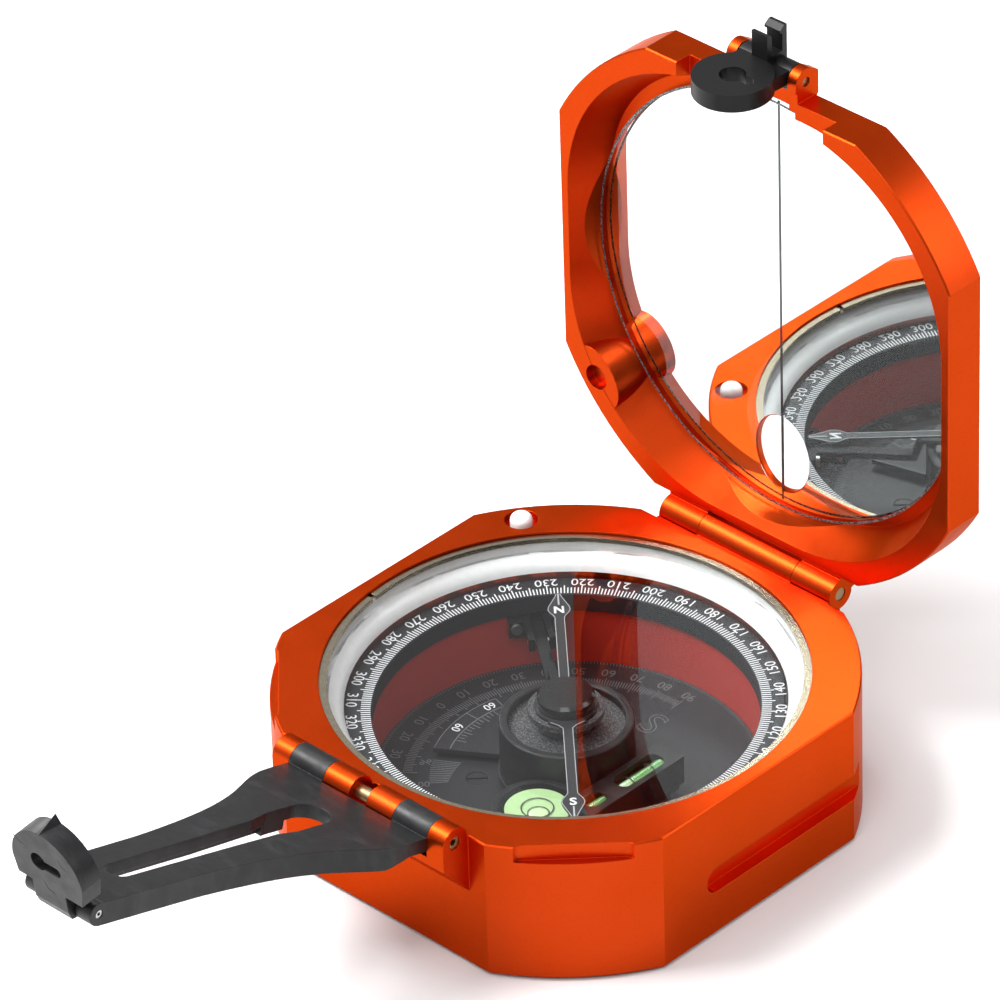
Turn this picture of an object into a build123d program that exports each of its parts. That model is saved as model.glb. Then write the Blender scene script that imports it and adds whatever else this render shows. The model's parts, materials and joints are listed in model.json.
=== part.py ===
from build123d import *
import os
from math import sin, cos, radians, sqrt, pi, atan2, degrees

# Geology compass (pocket transit): mirror lid, folding sight arm, dial, needle and levels.
# Frame: +Z up, base at Z = 0, origin on the needle axis, lid hinge at +Y, sight arm at -Y.

# ---- case -----------------------------------------------------------------
case_w = 71.0            # across the flats
corner_r = 40.2          # the four corners are one circle
case_h = 21.6
base_recess_r = 20.0
base_recess_d = 1.8
floor_top = 3.2
chamber_r = 26.94
circle_bore_r = 30.5
circle_seat_z = 12.9
shoulder_z = 16.9
mouth_r = 33.47
snap_groove_r = 34.0
groove_z = 9.0           # middle of the tripod grooves
groove_h = 4.0
groove_d = 1.8
groove_end_y = -10.4

# ---- lid hinge and lid ----------------------------------------------------
hinge_y = 38.14
hinge_z = 21.7
knuckle_r = 2.3
knuckle_clear_r = 2.42
hinge_half = 15.9
lid_knuckle_in = 8.75
pin_r = 1.0
pin_run_r = 1.05
lid_t = 6.9
lid_mid_v = hinge_y      # distance from the hinge axis to the middle of the lid
cavity_half = 34.1
cavity_corner = 27.0
cavity_d = 6.1
cavity_taper = 22.4
pocket_r = 33.2
mirror_r = 32.83
mirror_v = 37.88
mirror_front = 4.98      # depth of the glass behind the rim
glass_t = 0.92
silver_t = 0.20
silver_gap = 0.02
window_w = 9.6
window_h = 12.0
window_v = 13.15

# ---- small sight on the lid -----------------------------------------------
small_y = 42.6
small_z = 98.02
small_ear_out = 6.29
small_ear_in = 4.72
small_ear_r = 2.05
small_pin_r = 0.7

# ---- sight arm ------------------------------------------------------------
arm_y = -37.9
arm_z = 21.7
arm_rise = 16.5
arm_knuckle_in = 6.45
arm_knuckle_out = 12.8
clip_gap = 1.6
arm_top = -0.15
arm_root_n = -2.2
arm_low_n = -3.45
arm_tip_s = 56.1
arm_tip_n = -1.75
leaf_lean = 7.35

# ---- dial -----------------------------------------------------------------
plate_top = 4.2
plate_r = 26.8
circle_ri = 26.5
circle_ro = 30.45
circle_z0 = 13.0
circle_z1 = 15.9
screw_angle = 45.0
screw_z = 11.5
pinion_r = 1.4
lever_angle = 142.9
lift_r = 37.1
lever_pivot_r = 21.5
lever_pivot_z = 11.7
needle_angle = 135.9
needle_half = 26.1
needle_z = 16.1


def closed(points):
    # one face with straight sides, from its corners
    Polygon(*points, align=None)


def spot(r, angle, z=0.0):
    return (r * cos(radians(angle)), r * sin(radians(angle)), z)


# planes that the moving pieces are drawn on
lid_plane = Plane(origin=(0, hinge_y, hinge_z), x_dir=(1, 0, 0), z_dir=(0, -1, 0))
rise_c = cos(radians(arm_rise))
rise_s = sin(radians(arm_rise))
arm_plane = Plane(origin=(0, arm_y, arm_z), x_dir=(1, 0, 0), z_dir=(0, rise_s, rise_c))
arm_side = Plane(origin=(0, arm_y, arm_z), x_dir=(0, -rise_c, rise_s), z_dir=(-1, 0, 0))
tip_y = arm_y - arm_tip_s * rise_c + arm_tip_n * rise_s
tip_z = arm_z + arm_tip_s * rise_s + arm_tip_n * rise_c
lean_c = cos(radians(leaf_lean))
lean_s = sin(radians(leaf_lean))
leaf_plane = Plane(origin=(0, tip_y, tip_z), x_dir=(1, 0, 0), z_dir=(0, -lean_c, -lean_s))
leaf_side = Plane(origin=(0, tip_y, tip_z), x_dir=(0, -lean_c, -lean_s), z_dir=(-1, 0, 0))
lever_c = cos(radians(lever_angle))
lever_s = sin(radians(lever_angle))
lever_plane = Plane(origin=(0, 0, 0), x_dir=(lever_c, lever_s, 0), z_dir=(lever_s, -lever_c, 0))
screw_c = cos(radians(screw_angle))
screw_s = sin(radians(screw_angle))
screw_plane = Plane(origin=(0, 0, screw_z), x_dir=(screw_s, -screw_c, 0), z_dir=(screw_c, screw_s, 0))

# ===========================================================================
# CASE
# ===========================================================================
with BuildPart() as case_body:
    with BuildSketch(Plane.XY):
        Circle(corner_r)
        Rectangle(case_w, case_w, mode=Mode.INTERSECT)
    extrude(amount=case_h)
    chamfer(case_body.faces().sort_by(Axis.Z)[0].edges(), 0.5)
    chamfer(case_body.faces().sort_by(Axis.Z)[-1].edges(), 0.2)
    # sight arm boss: full width block under the hinge line
    with BuildSketch(Plane.YZ):
        front = arm_y - knuckle_r
        closed([(-34.5, 11.8), (-35.5, 12.5), (front, 18.0), (front, arm_z), (-34.5, case_h)])
        with Locations((arm_y, arm_z)):
            Circle(knuckle_r)
    extrude(amount=hinge_half, both=True)
    # lid hinge boss: middle knuckle, and a lower ledge under the lid's knuckles
    with BuildSketch(Plane.YZ):
        back = hinge_y + knuckle_r
        closed([(34.5, 11.8), (35.5, 12.5), (back, 18.2), (back, hinge_z), (34.5, case_h)])
        with Locations((hinge_y, hinge_z)):
            Circle(knuckle_r)
    extrude(amount=lid_knuckle_in - 0.05, both=True)
    with BuildSketch(Plane.YZ):
        closed([(34.5, 11.8), (35.5, 12.5), (hinge_y - 0.1, 15.4), (hinge_y - 0.1, case_h), (34.5, case_h)])
    extrude(amount=hinge_half, both=True)
    # room for the turning knuckles
    for side in (-1, 1):
        with BuildSketch(Plane.YZ.offset(side * 0.5 * (lid_knuckle_in - 0.05 + hinge_half + 0.1))):
            with Locations((hinge_y, hinge_z)):
                Circle(knuckle_clear_r)
        extrude(amount=0.5 * (hinge_half + 0.15 - lid_knuckle_in), both=True, mode=Mode.SUBTRACT)
        mid = side * 0.5 * (arm_knuckle_in + arm_knuckle_out)
        with BuildSketch(Plane.YZ.offset(mid)):
            with Locations((arm_y, arm_z)):
                Circle(knuckle_clear_r)
            closed([(arm_y, 19.25), (arm_y, 25.0), (-42.0, 25.0), (-42.0, 19.25)])
        extrude(amount=0.5 * (arm_knuckle_out - arm_knuckle_in) + 0.05, both=True, mode=Mode.SUBTRACT)
    # gap in the middle of the arm hinge for the lid sight's clip
    with BuildSketch(Plane.YZ):
        closed([(-42.0, 19.4), (-35.2, 19.4), (-35.2, 25.0), (-42.0, 25.0)])
    extrude(amount=clip_gap, both=True, mode=Mode.SUBTRACT)
    # bores of the two hinge pins
    with BuildSketch(Plane.YZ):
        with Locations((arm_y, arm_z)):
            Circle(pin_r)
        with Locations((hinge_y, hinge_z)):
            Circle(pin_run_r)
    extrude(amount=hinge_half + 1, both=True, mode=Mode.SUBTRACT)
    # dial chamber, circle seat, mouth and snap ring groove
    with BuildSketch(Plane.XZ):
        closed([(0, floor_top), (chamber_r, floor_top), (chamber_r, circle_seat_z),
                (circle_bore_r, circle_seat_z), (circle_bore_r, shoulder_z), (mouth_r, shoulder_z),
                (mouth_r, 20.5), (snap_groove_r, 20.5), (snap_groove_r, 21.3), (mouth_r, 21.3),
                (mouth_r, 23.0), (0, 23.0)])
    revolve(axis=Axis.Z, mode=Mode.SUBTRACT)
    # base recess and bush hole
    with BuildSketch(Plane.XY):
        Circle(base_recess_r)
    extrude(amount=base_recess_d, mode=Mode.SUBTRACT)
    with BuildSketch(Plane.XY):
        Circle(3.0)
    extrude(amount=floor_top, mode=Mode.SUBTRACT)
    with BuildSketch(Plane.XY.offset(base_recess_d)):
        with PolarLocations(12.5, 4, start_angle=45):
            Circle(0.8)
    extrude(amount=2.0, mode=Mode.SUBTRACT)
    # tripod grooves in the two side flats, blind at the front, open at the back
    for side in (-1, 1):
        with BuildSketch(Plane.YZ.offset(side * (case_w / 2 - groove_d))):
            closed([(groove_end_y + 2, groove_z - 2), (41, groove_z - 2), (41, groove_z + 2), (groove_end_y + 2, groove_z + 2)])
            with Locations((groove_end_y + 2, groove_z)):
                Circle(groove_h / 2)
        extrude(amount=side * 3.0, mode=Mode.SUBTRACT)
    # thumb notches in the two front corners
    with BuildSketch(Plane.XY.offset(case_h - 2.4)):
        with PolarLocations(38.9 + 5, 2, start_angle=-135, angular_range=180):
            RectangleRounded(10, 16.8, 1.5)
    extrude(amount=4, mode=Mode.SUBTRACT)
    # lift pin bore, counterbore and the slot for the lift lever
    with BuildSketch(Plane.XY.offset(circle_seat_z - 2)):
        with Locations(spot(lift_r, lever_angle)[:2]):
            Circle(1.65)
    extrude(amount=12, mode=Mode.SUBTRACT)
    with BuildSketch(Plane.XY.offset(case_h - 1.3)):
        with Locations(spot(lift_r, lever_angle)[:2]):
            Circle(2.35)
    extrude(amount=3, mode=Mode.SUBTRACT)
    with BuildSketch(lever_plane):
        closed([(26.0, 9.0), (38.4, 9.0), (38.4, 12.9), (26.0, 12.9)])
    extrude(amount=1.5, both=True, mode=Mode.SUBTRACT)
    # two tapped holes for the lever bracket, in the chamber wall
    for off in (-2.9, 2.9):
        with BuildSketch(Plane(origin=spot(26.0, lever_angle, 11.9), x_dir=(lever_s, -lever_c, 0), z_dir=(lever_c, lever_s, 0))):
            with Locations((off, 0)):
                Circle(0.45)
        extrude(amount=3.5, mode=Mode.SUBTRACT)
    # circle screw: pinion pocket, shaft bore and head recess
    with BuildSketch(screw_plane.offset(26.0)):
        Circle(pinion_r + 0.1)
        with Locations((0, 1.0)):
            Rectangle(2 * pinion_r + 0.2, 2.0)
    extrude(amount=4.6, mode=Mode.SUBTRACT)
    with BuildSketch(screw_plane.offset(26.0)):
        Circle(0.85)
    extrude(amount=16, mode=Mode.SUBTRACT)
    with BuildSketch(screw_plane.offset(38.9)):
        Circle(1.8)
    extrude(amount=3, mode=Mode.SUBTRACT)

with BuildPart() as arm_hinge_pin:
    with BuildSketch(Plane.YZ):
        with Locations((arm_y, arm_z)):
            Circle(pin_r)
            Circle(0.5, mode=Mode.SUBTRACT)
    extrude(amount=hinge_half - 0.35, both=True)

with BuildPart() as dial_plate:
    with BuildSketch(Plane.XY.offset(floor_top)):
        Circle(plate_r)
        Circle(3.6, mode=Mode.SUBTRACT)
        with PolarLocations(12.5, 4, start_angle=45):
            Circle(0.85, mode=Mode.SUBTRACT)
    extrude(amount=plate_top - floor_top)
    with BuildSketch(Plane.XY.offset(plate_top - 0.6)):
        with PolarLocations(12.5, 4, start_angle=45):
            Circle(1.5)
    extrude(amount=1, mode=Mode.SUBTRACT)

with BuildPart() as dial_plate_screws:
    with BuildSketch(Plane.XY.offset(base_recess_d + 0.1)):
        with PolarLocations(12.5, 4, start_angle=45):
            Circle(0.8)
    extrude(amount=plate_top - 0.6 - base_recess_d)
    with BuildSketch(Plane.XY.offset(plate_top - 0.6)):
        with PolarLocations(12.5, 4, start_angle=45):
            Circle(1.4)
    extrude(amount=0.55)
    with BuildSketch(Plane.XY.offset(plate_top - 0.3)):
        with PolarLocations(12.5, 4, start_angle=45):
            Rectangle(2.9, 0.35)
    extrude(amount=1, mode=Mode.SUBTRACT)

with BuildPart() as bevel_ring:
    with BuildSketch(Plane.XZ):
        with BuildLine():
            Polyline((30.2, 17.05), (30.55, shoulder_z), (33.4, shoulder_z), (33.4, 20.5), (32.75, 20.5),
                     (32.75, 19.0), (32.2, 19.0))
            ThreePointArc((32.2, 19.0), (31.0, 18.35), (30.2, 17.05))
        make_face()
    revolve(axis=Axis.Z)

with BuildPart() as cover_glass:
    with BuildSketch(Plane.XY.offset(19.0)):
        Circle(32.7)
    extrude(amount=1.5)
    chamfer(cover_glass.faces().sort_by(Axis.Z)[-1].edges(), 0.2)

with BuildPart() as snap_ring:
    with BuildSketch(Plane.XY.offset(20.55)):
        Circle(33.9)
        Circle(32.4, mode=Mode.SUBTRACT)
        with Locations(Location(spot(33.1, -172.5), (0, 0, -172.5))):
            Rectangle(4, 0.7, mode=Mode.SUBTRACT)
    extrude(amount=0.7)

with BuildPart() as clinometer_bush:
    with BuildSketch(Plane.XZ):
        closed([(2.05, base_recess_d + 0.05), (3.0, base_recess_d + 0.05), (3.0, floor_top), (3.5, floor_top),
                (3.5, floor_top + 0.9), (2.05, floor_top + 0.9)])
    revolve(axis=Axis.Z)

# bracket on the chamber wall that carries the lift lever
with BuildPart() as lever_bracket:
    with BuildSketch(Plane.XY.offset(10.9)):
        with Locations(Location((0, 0, 0), (0, 0, lever_angle))):
            Polygon((20.4, -1.9), (24.8, -1.9), (24.8, -4.0), (28.0, -4.0), (28.0, 4.0), (24.8, 4.0), (24.8, 1.9), (20.4, 1.9), align=None)
            Polygon((19.0, -1.0), (30.0, -1.0), (30.0, 1.0), (19.0, 1.0), align=None, mode=Mode.SUBTRACT)
        Circle(chamber_r - 0.04, mode=Mode.INTERSECT)
    extrude(amount=1.95)
    with BuildSketch(Plane.XY.offset(10.3)):
        with Locations(Location((0, 0, 0), (0, 0, lever_angle))):
            Polygon((24.8, -4.0), (28.0, -4.0), (28.0, 4.0), (24.8, 4.0), align=None)
        Circle(chamber_r - 0.04, mode=Mode.INTERSECT)
    extrude(amount=0.6)
    with BuildSketch(Plane(origin=spot(lever_pivot_r, lever_angle, lever_pivot_z), x_dir=(lever_c, lever_s, 0), z_dir=(lever_s, -lever_c, 0))):
        Circle(0.4)
    extrude(amount=3, both=True, mode=Mode.SUBTRACT)
    for off in (-2.9, 2.9):
        with BuildSketch(Plane(origin=spot(24.0, lever_angle, 11.9), x_dir=(lever_s, -lever_c, 0), z_dir=(lever_c, lever_s, 0))):
            with Locations((off, 0)):
                Circle(0.45)
        extrude(amount=3.5, mode=Mode.SUBTRACT)

with BuildPart() as bracket_screws:
    for off in (-2.9, 2.9):
        with BuildSketch(Plane(origin=spot(24.8, lever_angle, 11.9), x_dir=(lever_s, -lever_c, 0), z_dir=(lever_c, lever_s, 0))):
            with Locations((off, 0)):
                Circle(0.45)
        extrude(amount=4.0)
        with BuildSketch(Plane(origin=spot(24.3, lever_angle, 11.9), x_dir=(lever_s, -lever_c, 0), z_dir=(lever_c, lever_s, 0))):
            with Locations((off, 0)):
                Circle(0.8)
        extrude(amount=0.5)

with BuildPart() as lever_pivot_pin:
    with BuildSketch(Plane(origin=spot(lever_pivot_r, lever_angle, lever_pivot_z), x_dir=(lever_c, lever_s, 0), z_dir=(lever_s, -lever_c, 0))):
        Circle(0.4)
    extrude(amount=1.9, both=True)

# ===========================================================================
# LID
# ===========================================================================
with BuildPart() as lid_body:
    with BuildSketch(lid_plane):
        with Locations((0, lid_mid_v)):
            Circle(corner_r)
            Rectangle(case_w, case_w, mode=Mode.INTERSECT)
    extrude(amount=-lid_t)
    chamfer(lid_body.faces().sort_by(Axis.Y)[-1].edges(), 0.7)
    chamfer(lid_body.faces().sort_by(Axis.Y)[0].edges(), 0.2)
    # hollow with slanted walls, then the round seat of the mirror
    with BuildSketch(lid_plane):
        with Locations((0, lid_mid_v)):
            RectangleRounded(2 * cavity_half, 2 * cavity_half, cavity_corner)
    extrude(amount=-cavity_d, taper=cavity_taper, mode=Mode.SUBTRACT)
    with BuildSketch(lid_plane):
        with Locations((0, mirror_v)):
            Circle(pocket_r)
    extrude(amount=-cavity_d, mode=Mode.SUBTRACT)
    # land over the lift pin, with a dimple that clears the pin
    land = (spot(lift_r, lever_angle)[0], lid_mid_v - spot(lift_r, lever_angle)[1])
    with BuildSketch(lid_plane.offset(-0.05)):
        with Locations(Location((land[0], land[1], 0), (0, 0, 37))):
            Ellipse(3.6, 5.0)
        with Locations((0, lid_mid_v)):
            Circle(corner_r - 1.0, mode=Mode.INTERSECT)
            Rectangle(case_w - 2, case_w - 2, mode=Mode.INTERSECT)
        with Locations((0, mirror_v)):
            Circle(pocket_r - 0.1, mode=Mode.SUBTRACT)
    extrude(amount=-(cavity_d - 0.05))
    with BuildSketch(lid_plane):
        with Locations(land):
            Circle(1.9)
    extrude(amount=-1.3, mode=Mode.SUBTRACT)
    # knuckles on the hinge line, wrapped into the lid's edge
    for side in (-1, 1):
        with BuildSketch(Plane.YZ.offset(side * (lid_knuckle_in + hinge_half) / 2)):
            with Locations((hinge_y, hinge_z)):
                Circle(knuckle_r)
            closed([(hinge_y + 0.06, hinge_z), (hinge_y + knuckle_r, hinge_z), (hinge_y + 4.4, hinge_z + 0.5),
                    (hinge_y + lid_t, hinge_z + 2.9), (hinge_y + lid_t - 0.7, hinge_z + 4.0), (hinge_y + 0.06, hinge_z + 4.0)])
        extrude(amount=(hinge_half - lid_knuckle_in) / 2, both=True)
    with BuildSketch(Plane.YZ):
        with Locations((hinge_y, hinge_z)):
            Circle(pin_r)
    extrude(amount=hinge_half + 1, both=True, mode=Mode.SUBTRACT)
    # ears of the small sight at the free end
    for side in (-1, 1):
        with BuildSketch(Plane.YZ.offset(side * (small_ear_in + small_ear_out) / 2)):
            with Locations((small_y, small_z)):
                Circle(small_ear_r)
            closed([(small_y - small_ear_r, small_z), (small_y - small_ear_r, 94.6), (44.3, 94.6), (hinge_y + lid_t, 95.4),
                    (hinge_y + lid_t, small_z + 0.9), (small_y + 0.9, small_z + 1.85)])
        extrude(amount=(small_ear_out - small_ear_in) / 2, both=True)
    # the rim is set back at the free end, and a slot lets the sight fold in
    with BuildSketch(lid_plane):
        with Locations((0, 72.6)):
            Rectangle(2 * 13.2, 5.2)
    extrude(amount=-2.7, mode=Mode.SUBTRACT)
    with BuildSketch(lid_plane):
        with Locations((0, 72.2)):
            Rectangle(2 * 4.78, 6.4)
        with Locations((0, 70.2)):
            Rectangle(2 * 5.85, 4.0)
    extrude(amount=-5.15, mode=Mode.SUBTRACT)
    with BuildSketch(Plane.YZ):
        with Locations((small_y, small_z)):
            Circle(small_pin_r)
    extrude(amount=8, both=True, mode=Mode.SUBTRACT)
    # oval sighting window through the back
    with BuildSketch(lid_plane):
        with Locations((0, window_v)):
            Ellipse(window_w / 2, window_h / 2)
    extrude(amount=-(lid_t + 1), mode=Mode.SUBTRACT)

with BuildPart() as mirror_glass:
    with BuildSketch(lid_plane.offset(-mirror_front)):
        with Locations((0, mirror_v)):
            Circle(mirror_r)
    extrude(amount=-glass_t)
    chamfer(mirror_glass.faces().sort_by(Axis.Y)[0].edges(), 0.3)

with BuildPart() as mirror_backing:
    with BuildSketch(lid_plane.offset(-(mirror_front + glass_t + silver_gap))):
        with Locations((0, mirror_v)):
            Circle(mirror_r - 0.3)
        with Locations((0, window_v)):
            Ellipse(window_w / 2 + 0.2, window_h / 2 + 0.2, mode=Mode.SUBTRACT)
        with Locations((0, mirror_v)):
            Rectangle(0.44, 64.7, mode=Mode.SUBTRACT)
    extrude(amount=-(silver_t - silver_gap))

with BuildPart() as sight_line:
    with BuildSketch(lid_plane.offset(-(mirror_front + glass_t + silver_gap))):
        with Locations((0, mirror_v)):
            Rectangle(0.40, 64.6)
    extrude(amount=-0.12)

with BuildPart() as lid_hinge_pin:
    with BuildSketch(Plane.YZ):
        with Locations((hinge_y, hinge_z)):
            Circle(pin_r)
    extrude(amount=hinge_half - 0.15, both=True)

with BuildPart() as small_sight_pin:
    with BuildSketch(Plane.YZ):
        with Locations((small_y, small_z)):
            Circle(small_pin_r)
    extrude(amount=small_ear_out - 0.35, both=True)

# ===========================================================================
# SMALL SIGHT: keyhole disc and a spring clip at right angles to it
# ===========================================================================
with BuildPart() as small_sight:
    with BuildSketch(Plane.YZ):
        with Locations((small_y, small_z)):
            Circle(2.0)
    extrude(amount=4.55, both=True)
    with BuildSketch(Plane.XY.offset(small_z - 0.4)):
        with Locations((0, 35.05)):
            Circle(5.58)
        closed([(-4.3, 38.4), (4.3, 38.4), (4.5, small_y), (-4.5, small_y)])
    extrude(amount=2.0)
    with BuildSketch(Plane.XY.offset(small_z - 0.4)):
        with Locations((0, 35.05)):
            Circle(5.58)
    extrude(amount=2.6)
    with BuildSketch(Plane.XY.offset(small_z - 1)):
        with Locations((0, 35.05)):
            Circle(1.85)
            with Locations((1.6, 0)):
                SlotOverall(4.0, 1.6)
    extrude(amount=4, mode=Mode.SUBTRACT)
    with BuildSketch(Plane.YZ):
        closed([(40.37, small_z + 0.6), (44.27, small_z + 0.6), (44.27, small_z + 6.4), (43.75, small_z + 6.4),
                (42.9, small_z + 5.8), (42.9, small_z + 5.42), (43.37, small_z + 5.2), (43.37, small_z + 2.6),
                (41.27, small_z + 2.6), (41.27, small_z + 5.6), (40.9, small_z + 6.05), (40.37, small_z + 6.05)])
    extrude(amount=1.4, both=True)
    with BuildSketch(Plane.YZ):
        with Locations((small_y, small_z)):
            Circle(small_pin_r + 0.05)
    extrude(amount=6, both=True, mode=Mode.SUBTRACT)

# ===========================================================================
# SIGHT ARM
# ===========================================================================
with BuildPart() as sight_arm:
    # side view, then cut to the plan outline
    with BuildSketch(arm_side):
        Circle(knuckle_r)
        closed([(-knuckle_r + 0.35, arm_top), (arm_tip_s, arm_top), (arm_tip_s, arm_low_n), (9.0, arm_low_n), (5.0, arm_root_n),
                (0.0, arm_root_n)])
        with Locations((arm_tip_s, arm_tip_n)):
            Circle(1.65)
    extrude(amount=arm_knuckle_out, both=True)
    with BuildSketch(arm_plane.offset(-5)):
        with BuildLine():
            Polyline((-6.0, -58.0), (6.0, -58.0), (6.1, -46.0), (6.2, -38.0))
            Spline((6.2, -38.0), (6.7, -31.0), (7.6, -24.0), (10.0, -15.3), (12.7, -8.0),
                   tangents=((0.04, 1), (0.18, 1)))
            Polyline((12.7, -8.0), (12.8, -6.0), (12.8, 3.0), (-12.8, 3.0), (-12.8, -6.0), (-12.7, -8.0))
            Spline((-12.7, -8.0), (-10.0, -15.3), (-7.6, -24.0), (-6.7, -31.0), (-6.2, -38.0),
                   tangents=((0.18, -1), (0.04, -1)))
            Polyline((-6.2, -38.0), (-6.1, -46.0), (-6.0, -58.0))
        make_face()
    extrude(amount=10, mode=Mode.INTERSECT)
    # open middle at the root, clear of the case's middle knuckles
    with BuildSketch(arm_plane.offset(-5)):
        with Locations((0, 0.25)):
            Rectangle(2 * arm_knuckle_in, 5.6)
    extrude(amount=10, mode=Mode.SUBTRACT)
    # long tapered sighting slot
    with BuildSketch(arm_plane.offset(-5)):
        with BuildLine():
            Polyline((3.0, -16.5), (2.3, -20.0), (2.1, -30.0), (1.9, -47.05))
            ThreePointArc((1.9, -47.05), (0.0, -48.95), (-1.9, -47.05))
            Polyline((-1.9, -47.05), (-2.1, -30.0), (-2.3, -20.0), (-3.0, -16.5), (-3.0, -11.6))
            ThreePointArc((-3.0, -11.6), (0.0, -8.6), (3.0, -11.6))
            Line((3.0, -11.6), (3.0, -16.5))
        make_face()
    extrude(amount=10, mode=Mode.SUBTRACT)
    # underside hollowed beside the slot
    with BuildSketch(arm_plane.offset(-2.0)):
        Polygon((3.9, -17.0), (3.4, -30.0), (3.3, -47.4), (-3.3, -47.4), (-3.4, -30.0), (-3.9, -17.0), align=None)
    extrude(amount=-3, mode=Mode.SUBTRACT)
    # fork for the tip leaf
    with BuildSketch(arm_plane.offset(-5)):
        with Locations((0, -56.6)):
            Rectangle(6.5, 7.2)
    extrude(amount=10, mode=Mode.SUBTRACT)
    # shallow round pocket underneath for the folded small sight
    with BuildSketch(arm_plane.offset(-2.1)):
        with Locations((0, -7.4)):
            Circle(6.15)
    extrude(amount=-3, mode=Mode.SUBTRACT)
    # pin bores
    with BuildSketch(arm_side):
        Circle(pin_run_r)
        with Locations((arm_tip_s, arm_tip_n)):
            Circle(0.6)
    extrude(amount=14, both=True, mode=Mode.SUBTRACT)

with BuildPart() as tip_pin:
    with BuildSketch(arm_side):
        with Locations((arm_tip_s, arm_tip_n)):
            Circle(0.6)
            Circle(0.25, mode=Mode.SUBTRACT)
    extrude(amount=5.9, both=True)

with BuildPart() as tip_sight:
    # wide leaf with a round head
    with BuildSketch(leaf_plane.offset(-0.8)):
        with BuildLine():
            Line((-5.6, 3.2), (6.2, 3.2))
            Line((6.2, 3.2), (6.8, 6.1))
            ThreePointArc((6.8, 6.1), (0.35, 12.4), (-6.1, 6.1))
            Line((-6.1, 6.1), (-5.6, 3.2))
        make_face()
    extrude(amount=3.3)
    # tab that turns on the tip pin
    with BuildSketch(leaf_side):
        Circle(1.55)
        closed([(-0.8, 0.0), (-0.8, 4.0), (2.5, 4.0), (2.5, 0.4), (2.1, -0.9), (1.1, -1.1)])
    extrude(amount=3.05, both=True)
    with BuildSketch(leaf_side):
        Circle(0.65)
    extrude(amount=4, both=True, mode=Mode.SUBTRACT)
    # keyhole opening
    with BuildSketch(leaf_plane.offset(-2)):
        with Locations((-1.1, 7.2)):
            Circle(1.35)
        with Locations((0.9, 7.0)):
            SlotOverall(4.2, 1.5)
    extrude(amount=8, mode=Mode.SUBTRACT)
    # pointed ridge over the rim, running out towards the outer face
    with BuildSketch(leaf_plane.offset(-0.8)):
        closed([(-1.3, 11.8), (1.3, 11.8), (0.1, 13.7)])
    with BuildSketch(leaf_plane.offset(2.5)):
        closed([(-0.5, 11.8), (0.6, 11.8), (0.1, 12.45)])
    loft()

# ===========================================================================
# DIAL: graduated circle, its screw, clinometer, levels
# ===========================================================================
with BuildPart() as graduated_circle:
    with BuildSketch(Plane.XY.offset(circle_z0)):
        Circle(circle_ro)
        Circle(circle_ri, mode=Mode.SUBTRACT)
    extrude(amount=circle_z1 - circle_z0)
    chamfer(graduated_circle.faces().sort_by(Axis.Z)[-1].edges(), 0.15)

with BuildPart() as circle_screw:
    with BuildSketch(screw_plane.offset(27.1)):
        Circle(pinion_r)
    extrude(amount=3.2)
    with BuildSketch(screw_plane.offset(30.3)):
        Circle(0.8)
    extrude(amount=8.7)
    with BuildSketch(screw_plane.offset(39.0)):
        Circle(1.7)
    extrude(amount=0.9)
    with BuildSketch(screw_plane.offset(39.5)):
        Rectangle(3.6, 0.5)
    extrude(amount=1, mode=Mode.SUBTRACT)

with BuildPart() as clinometer_lever:
    with BuildSketch(Plane.XY.offset(0.3)):
        Circle(5.0)
        with Locations((0, -9.0)):
            Rectangle(4.6, 18.0)
        with Locations((0, -15.6)):
            Circle(3.6)
        Circle(0.85, mode=Mode.SUBTRACT)
    extrude(amount=1.3)
    with BuildSketch(Plane.XY.offset(0.1)):
        Circle(2.2)
    extrude(amount=0.7, mode=Mode.SUBTRACT)
    with BuildSketch(Plane.XY.offset(0.1)):
        for k in range(5):
            with Locations((0, -13.6 - k * 1.0)):
                Rectangle(4.6, 0.45)
    extrude(amount=0.5)

with BuildPart() as clinometer_shaft:
    with BuildSketch(Plane.XY.offset(1.6)):
        Circle(2.0)
        Circle(0.8, mode=Mode.SUBTRACT)
    extrude(amount=3.4)

with BuildPart() as lever_screw:
    with BuildSketch(Plane.XY.offset(0.25)):
        Circle(2.1)
    extrude(amount=0.55)
    with BuildSketch(Plane.XY.offset(0.8)):
        Circle(0.8)
    extrude(amount=3.4)
    with BuildSketch(Plane.XY):
        Rectangle(5.0, 0.5)
    extrude(amount=0.5, mode=Mode.SUBTRACT)

with BuildPart() as vernier_plate:
    with BuildSketch(Plane.XY.offset(5.0)):
        Circle(9.6)
        with BuildLine():
            Line(spot(9.0, 165), spot(19.1, 165))
            ThreePointArc(spot(19.1, 165), spot(19.1, 187), spot(19.1, 209))
            Line(spot(19.1, 209), spot(9.0, 205))
            ThreePointArc(spot(9.0, 205), spot(9.0, 185), spot(9.0, 165))
        make_face()
        with Locations(Location((0, 0, 0), (0, 0, -61.6))):
            Polygon((0, -5.6), (19.5, -3.6), (19.5, 3.6), (0, 5.6), align=None)
        Polygon((7.0, -9.0), (14.2, -8.5), (14.2, 7.0), (7.0, 7.0), align=None)
    extrude(amount=0.7)

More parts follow.
